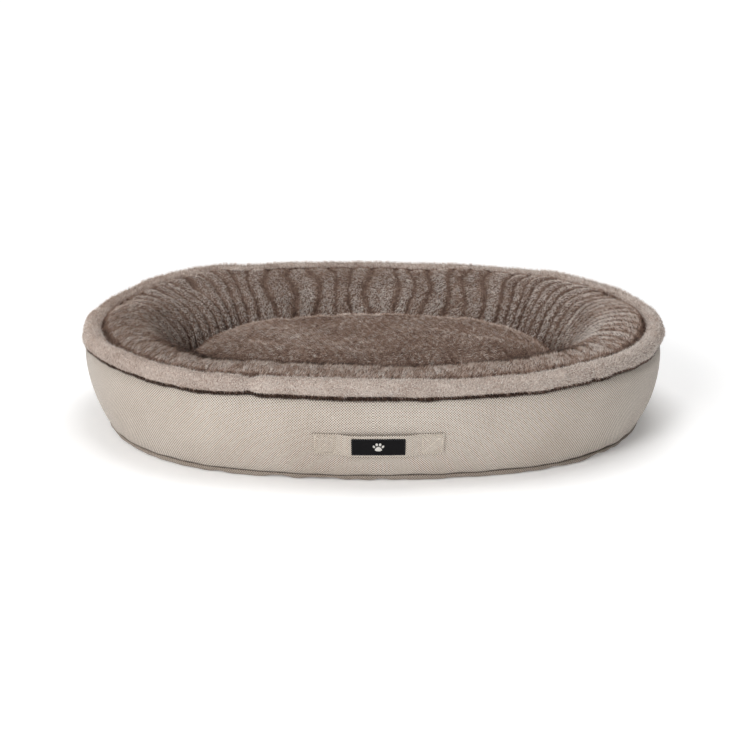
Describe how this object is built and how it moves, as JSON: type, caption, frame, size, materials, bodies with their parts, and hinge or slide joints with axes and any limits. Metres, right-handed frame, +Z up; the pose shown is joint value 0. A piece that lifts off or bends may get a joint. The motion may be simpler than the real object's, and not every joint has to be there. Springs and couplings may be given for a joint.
{
  "type": "pet cushion bed",
  "caption": "Oval nest bed for a pet: stuffed fur bolster in a woven outer band, fur rim roll, front carry handle and a loose crowned cushion.",
  "frame": {"origin": "on the floor, at the centre of the oval plan", "axes": "+X along the length to the right seen from the handle's side, +Y to the back away from the handle, +Z up"},
  "size_m": [0.9138, 0.6899, 0.168],
  "materials": {
    "woven_base": "basket-woven polyester, matt",
    "woven_wall": "basket-woven polyester, matt, beige",
    "brown_fur": "short mink-like pile, soft sheen",
    "pale_fur": "short pale pile, soft sheen",
    "cushion_fur": "short mink-like pile, soft sheen",
    "fibre_fill": "loose polyester fibre",
    "lining": "plain woven lining, matt",
    "woven_strap": "doubled basket-woven strap, matt",
    "thread": "polyester thread, slight gloss",
    "label_cloth": "fine damask weave, satin",
    "label_thread": "fine polyester thread",
    "emblem_yarn": "fine woven-in yarn"
  },
  "bodies": {
    "nest": {"base_panel": "woven_base", "side_wall": "woven_wall", "bolster_cover": "brown_fur", "bolster_fill": "fibre_fill", "rim_roll_cover": "pale_fur", "rim_roll_core": "fibre_fill", "deck_panel": "lining", "handle_strap": "woven_strap", "handle_stitching_left": "thread", "handle_stitching_right": "thread", "handle_label": "label_cloth", "label_stitching": "label_thread", "label_emblem": "emblem_yarn"},
    "cushion": {"cushion_top_cover": "cushion_fur", "cushion_base_cover": "lining", "cushion_fill": "fibre_fill"}
  },
  "joints": [
    {"name": "cushion_lift", "type": "slide", "parent": "nest", "child": "cushion", "axis": [0, 0, 1], "range_m": [0, 0.2]}
  ]
}
